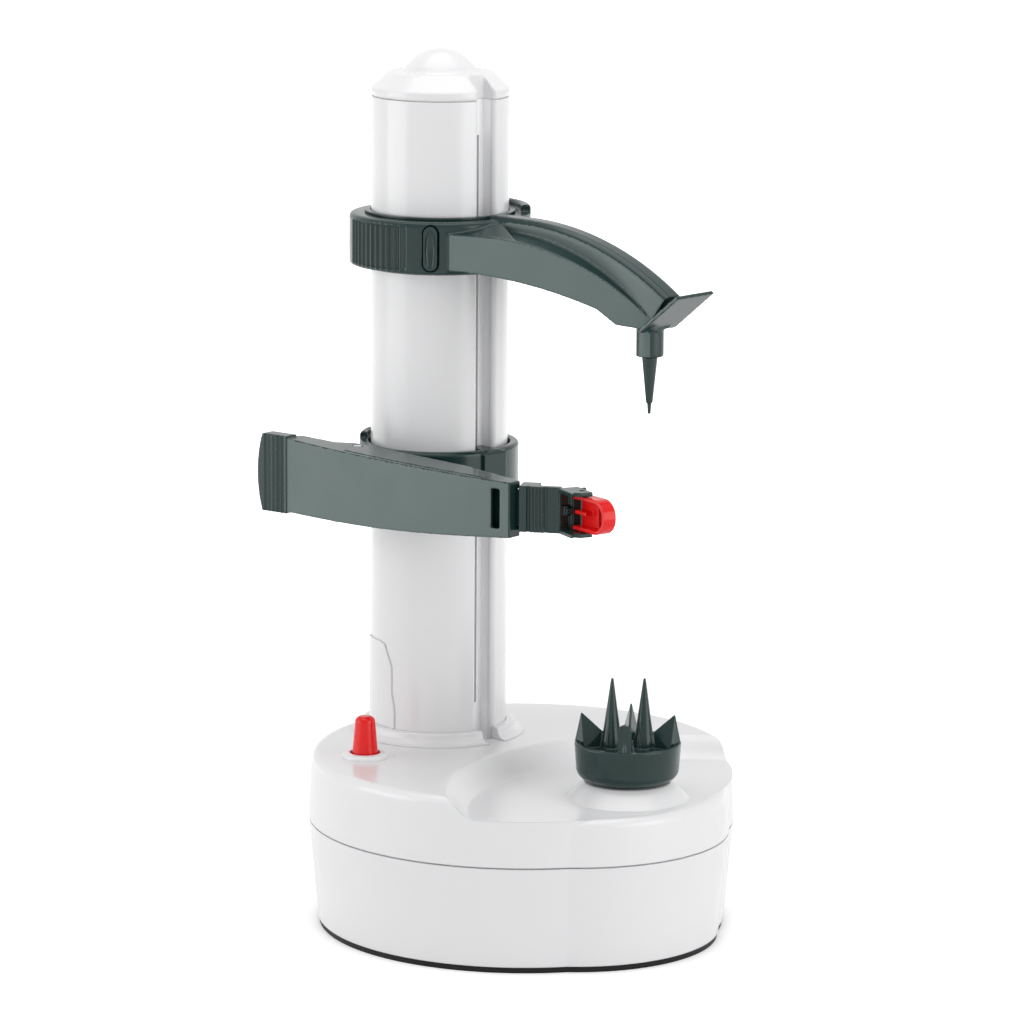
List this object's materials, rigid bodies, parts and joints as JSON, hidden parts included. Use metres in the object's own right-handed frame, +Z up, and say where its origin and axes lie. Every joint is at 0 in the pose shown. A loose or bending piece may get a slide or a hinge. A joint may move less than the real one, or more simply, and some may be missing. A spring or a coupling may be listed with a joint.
{
  "type": "electric potato peeler",
  "caption": "Upright electric potato peeler: lobed base with drive, driven food cup, column with a sliding peeling lever and blade, and a holding arm with a free-turning spike.",
  "frame": {"origin": "on the table, on the column's axis", "axes": "+Z up, +X from the column to the food cup"},
  "size_m": [0.1555, 0.1432, 0.2918],
  "materials": {
    "white": "gloss",
    "green": "gloss",
    "black": "matte",
    "red": "gloss",
    "nylon": "matte",
    "steel": "satin",
    "brass": "satin",
    "cell": "satin"
  },
  "bodies": {
    "base": {"base_plate": "black", "battery_door": "black", "battery_tray": "black", "battery_cells": "cell", "battery_contacts": "brass", "base_lower_shell": "white", "base_top_cover": "white", "base_screws": "steel", "gear_plate": "nylon", "gear_plate_screws": "steel", "motor": "steel", "idler_axle": "steel", "spindle_bush": "brass", "screw_foot_bush": "brass", "screw_top_bush": "brass", "column_housing": "white", "guide_channel": "white", "column_cap": "white", "column_screws": "steel", "end_stop_cover": "white", "limit_switch": "black", "power_button_spring": "steel", "power_switch": "black", "power_inlet": "black"},
    "spindle": {"food_cup": "green", "food_spindle": "steel", "spindle_gear": "nylon"},
    "idler": {"compound_idler": "nylon"},
    "screw": {"lead_screw": "steel", "screw_gear": "nylon"},
    "motor_rotor": {"motor_pinion": "brass"},
    "carriage": {"carriage_ring": "green", "half_nut": "brass", "lever_pin": "steel", "lever_spring": "steel"},
    "lever": {"peeling_lever": "green", "blade_holder": "green"},
    "blade_head": {"blade_head": "red", "blade": "steel"},
    "arm_bush": {"arm_bush": "green"},
    "arm": {"holding_arm": "green", "lock_spring": "steel"},
    "lock_button": {"lock_button": "green"},
    "top_spike": {"top_spike": "green"},
    "power_button": {"power_button": "red"}
  },
  "joints": [
    {"name": "cup_spin", "type": "hinge", "parent": "base", "child": "spindle", "pos_m": [0.0915, 0, 0], "axis": [0, 0, 1], "continuous": true},
    {"name": "idler_spin", "type": "hinge", "parent": "base", "child": "idler", "pos_m": [0.0455, 0, 0], "axis": [0, 0, 1], "continuous": true},
    {"name": "screw_spin", "type": "hinge", "parent": "base", "child": "screw", "pos_m": [0, 0, 0], "axis": [0, 0, 1], "continuous": true},
    {"name": "motor_spin", "type": "hinge", "parent": "base", "child": "motor_rotor", "pos_m": [0.0455, -0.028, 0], "axis": [0, 0, 1], "continuous": true},
    {"name": "carriage_slide", "type": "slide", "parent": "base", "child": "carriage", "axis": [0, 0, 1], "range_m": [-0.058, 0.008]},
    {"name": "lever_swing", "type": "hinge", "parent": "carriage", "child": "lever", "pos_m": [-0.002, -0.0355, 0.1493], "axis": [0, 0, 1], "range_deg": [-28, 0], "stiffness_Nm_per_rad": 0.04, "springref_deg": 20.05, "deforming": ["lever_spring"]},
    {"name": "head_pivot", "type": "hinge", "parent": "lever", "child": "blade_head", "pos_m": [0.09061, -0.02142, 0.1493], "axis": [0, 0, 1], "range_deg": [-12, 12]},
    {"name": "arm_slide", "type": "slide", "parent": "base", "child": "arm_bush", "axis": [0, 0, 1], "range_m": [-0.035, 0.036]},
    {"name": "arm_swivel", "type": "hinge", "parent": "arm_bush", "child": "arm", "pos_m": [0, 0, 0.228], "axis": [0, 0, 1], "range_deg": [-5.4, 80]},
    {"name": "lock_press", "type": "slide", "parent": "arm", "child": "lock_button", "axis": [-0.6561, 0.7547, 0], "range_m": [0, 0.0012], "stiffness_N_per_m": 200, "springref_m": -0.002, "deforming": ["lock_spring"]},
    {"name": "spike_spin", "type": "hinge", "parent": "arm", "child": "top_spike", "pos_m": [0.09109, 0.00861, 0.19], "axis": [0, 0, 1], "continuous": true},
    {"name": "power_press", "type": "slide", "parent": "base", "child": "power_button", "axis": [0, 0, -1], "range_m": [0, 0.0025], "stiffness_N_per_m": 300, "springref_m": -0.002, "deforming": ["power_button_spring"]}
  ],
  "couplings": [
    {"joint": "idler_spin", "follows": "cup_spin", "ratio": -0.84},
    {"joint": "screw_spin", "follows": "cup_spin", "ratio": 1.0244},
    {"joint": "motor_spin", "follows": "cup_spin", "ratio": 5.04}
  ]
}
